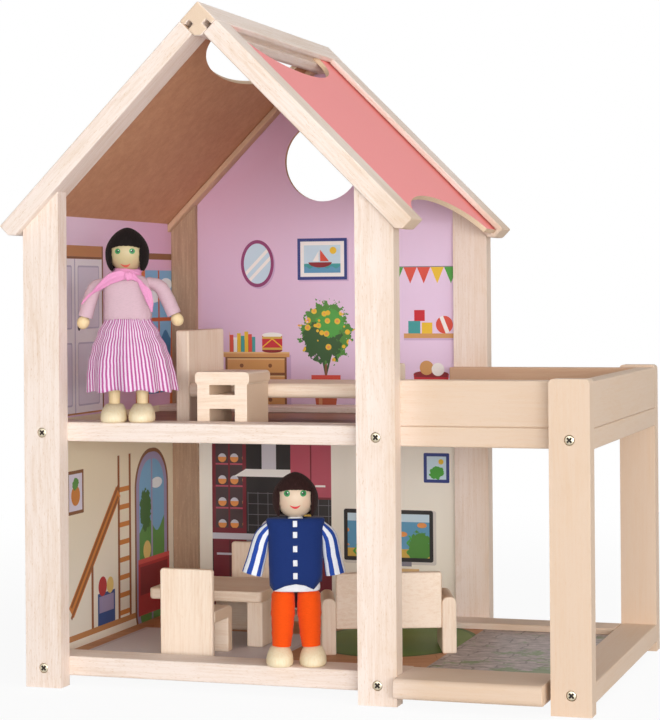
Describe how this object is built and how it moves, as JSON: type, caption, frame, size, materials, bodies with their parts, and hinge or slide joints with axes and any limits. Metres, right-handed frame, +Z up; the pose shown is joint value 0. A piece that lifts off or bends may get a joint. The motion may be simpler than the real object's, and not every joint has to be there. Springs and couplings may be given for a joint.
{
  "type": "wooden dollhouse",
  "caption": "Open two-storey wooden dollhouse with a gable roof, railed side terrace, loose furniture and jointed cloth-dressed dolls.",
  "frame": {"origin": "middle of the whole outline, on the ground under the posts", "axes": "+Z up, +X to the house's right with the terrace on that side, -Y out of the open front"},
  "size_m": [0.338, 0.2294, 0.3838],
  "materials": {
    "frame_wood": "planed pale timber, satin lacquer",
    "furniture_wood": "planed pale timber, satin lacquer",
    "bed_board": "planed pale timber, satin",
    "roof_board": "board painted red outside, brown hardboard inside",
    "wall_print": "printed board, satin",
    "floor_print": "printed board, satin",
    "screw_steel": "zinc-plated steel",
    "doll_skin": "painted turned wood, satin",
    "doll_limb": "cloth-wrapped limb with a wooden shoe",
    "doll_shoe": "turned wood, satin",
    "woman_hair_felt": "dense dark fibre",
    "boy_hair_felt": "dense brown fibre",
    "blouse_cloth": "thin cotton",
    "scarf_cloth": "thin satin ribbon cloth",
    "skirt_cloth": "striped cotton",
    "shirt_cloth": "white cotton",
    "sleeve_cloth": "blue and white striped cotton",
    "vest_cloth": "navy felt",
    "trouser_cloth": "orange cotton"
  },
  "bodies": {
    "house": {"post_front_left": "frame_wood", "post_front_right": "frame_wood", "post_rear_left": "frame_wood", "post_rear_right": "frame_wood", "terrace_post_front": "frame_wood", "terrace_post_rear": "frame_wood", "ridge_beam": "frame_wood", "rafter_front_left": "frame_wood", "rafter_front_right": "frame_wood", "rafter_rear_left": "frame_wood", "rafter_rear_right": "frame_wood", "ground_rail_front": "frame_wood", "ground_rail_back": "frame_wood", "ground_rail_right": "frame_wood", "step_board": "frame_wood", "upper_rail_front": "frame_wood", "upper_rail_back": "frame_wood", "upper_rail_right": "frame_wood", "parapet_front": "frame_wood", "parapet_right": "frame_wood", "parapet_back": "frame_wood", "roof_panel_left": "roof_board", "roof_panel_right": "roof_board", "side_wall": "wall_print", "back_wall": "wall_print", "ground_floor": "floor_print", "upper_floor": "floor_print", "frame_screws": "screw_steel"},
    "bed": {"bed_headboard": "furniture_wood", "bed_base": "bed_board", "bed_footboard": "furniture_wood"},
    "side_table": {"side_table": "furniture_wood"},
    "dining_table": {"table_top": "furniture_wood", "table_legs": "furniture_wood"},
    "chair_1": {"chair_1_back": "furniture_wood", "chair_1_seat": "furniture_wood"},
    "chair_2": {"chair_2_back": "furniture_wood", "chair_2_seat": "furniture_wood"},
    "sofa": {"sofa_back": "furniture_wood", "sofa_seat": "furniture_wood", "sofa_arms": "furniture_wood"},
    "woman": {"woman_blouse": "blouse_cloth", "woman_scarf": "scarf_cloth", "woman_skirt": "skirt_cloth"},
    "woman_head": {"woman_head": "doll_skin", "woman_hair": "woman_hair_felt"},
    "woman_arm_left": {"woman_arm_left": "blouse_cloth"},
    "woman_arm_right": {"woman_arm_right": "blouse_cloth"},
    "woman_leg_left": {"woman_leg_left": "doll_limb"},
    "woman_leg_right": {"woman_leg_right": "doll_limb"},
    "boy": {"boy_shirt": "shirt_cloth", "boy_vest": "vest_cloth"},
    "boy_head": {"boy_head": "doll_skin", "boy_hair": "boy_hair_felt"},
    "boy_arm_left": {"boy_arm_left": "sleeve_cloth"},
    "boy_arm_right": {"boy_arm_right": "sleeve_cloth"},
    "boy_leg_left": {"boy_trouser_left": "trouser_cloth", "boy_foot_left": "doll_shoe"},
    "boy_leg_right": {"boy_trouser_right": "trouser_cloth", "boy_foot_right": "doll_shoe"}
  },
  "joints": [
    {"name": "bed_lift", "type": "slide", "parent": "house", "child": "bed", "axis": [0, 0, 1], "range_m": [0, 0.04]},
    {"name": "side_table_lift", "type": "slide", "parent": "house", "child": "side_table", "axis": [0, 0, 1], "range_m": [0, 0.04]},
    {"name": "dining_table_lift", "type": "slide", "parent": "house", "child": "dining_table", "axis": [0, 0, 1], "range_m": [0, 0.04]},
    {"name": "chair_1_lift", "type": "slide", "parent": "house", "child": "chair_1", "axis": [0, 0, 1], "range_m": [0, 0.04]},
    {"name": "chair_2_lift", "type": "slide", "parent": "house", "child": "chair_2", "axis": [0, 0, 1], "range_m": [0, 0.04]},
    {"name": "sofa_lift", "type": "slide", "parent": "house", "child": "sofa", "axis": [0, 0, 1], "range_m": [0, 0.04]},
    {"name": "woman_slide", "type": "slide", "parent": "house", "child": "woman", "axis": [0, -0.9848, 0.1736], "range_m": [0, 0.08]},
    {"name": "boy_slide", "type": "slide", "parent": "house", "child": "boy", "axis": [0, -0.9848, 0.1736], "range_m": [0, 0.08]},
    {"name": "woman_arm_left_swing", "type": "hinge", "parent": "woman", "child": "woman_arm_left", "pos_m": [-0.11998, -0.08985, 0.228], "axis": [-0.9001, -0.2581, 0.3511], "range_deg": [-30, 90]},
    {"name": "woman_arm_right_swing", "type": "hinge", "parent": "woman", "child": "woman_arm_right", "pos_m": [-0.08442, -0.07965, 0.228], "axis": [-0.8276, -0.2373, -0.5087], "range_deg": [-30, 90]},
    {"name": "boy_arm_left_swing", "type": "hinge", "parent": "boy", "child": "boy_arm_left", "pos_m": [-0.01919, -0.09077, 0.0895], "axis": [-0.9091, -0.313, 0.2747], "range_deg": [-30, 90]},
    {"name": "boy_arm_right_swing", "type": "hinge", "parent": "boy", "child": "boy_arm_right", "pos_m": [0.01579, -0.07873, 0.0895], "axis": [-0.9297, -0.3201, -0.1821], "range_deg": [-30, 90]},
    {"name": "woman_head_turn", "type": "hinge", "parent": "woman", "child": "woman_head", "pos_m": [-0.1022, -0.08475, 0.2475], "axis": [0, 0, 1], "range_deg": [-60, 60]},
    {"name": "boy_head_turn", "type": "hinge", "parent": "boy", "child": "boy_head", "pos_m": [-0.0017, -0.08475, 0.109], "axis": [0, 0, 1], "range_deg": [-60, 60]},
    {"name": "woman_leg_left_swing", "type": "hinge", "parent": "woman", "child": "woman_leg_left", "pos_m": [-0.10989, -0.08696, 0.202], "axis": [-0.9613, -0.2756, 0], "range_deg": [0, 15]},
    {"name": "boy_leg_left_swing", "type": "hinge", "parent": "boy", "child": "boy_leg_left", "pos_m": [-0.00926, -0.08736, 0.0506], "axis": [-0.9455, -0.3256, 0], "range_deg": [0, 85]},
    {"name": "woman_leg_right_swing", "type": "hinge", "parent": "woman", "child": "woman_leg_right", "pos_m": [-0.09451, -0.08254, 0.202], "axis": [-0.9613, -0.2756, 0], "range_deg": [0, 15]},
    {"name": "boy_leg_right_swing", "type": "hinge", "parent": "boy", "child": "boy_leg_right", "pos_m": [0.00586, -0.08214, 0.0506], "axis": [-0.9455, -0.3256, 0], "range_deg": [0, 85]}
  ]
}
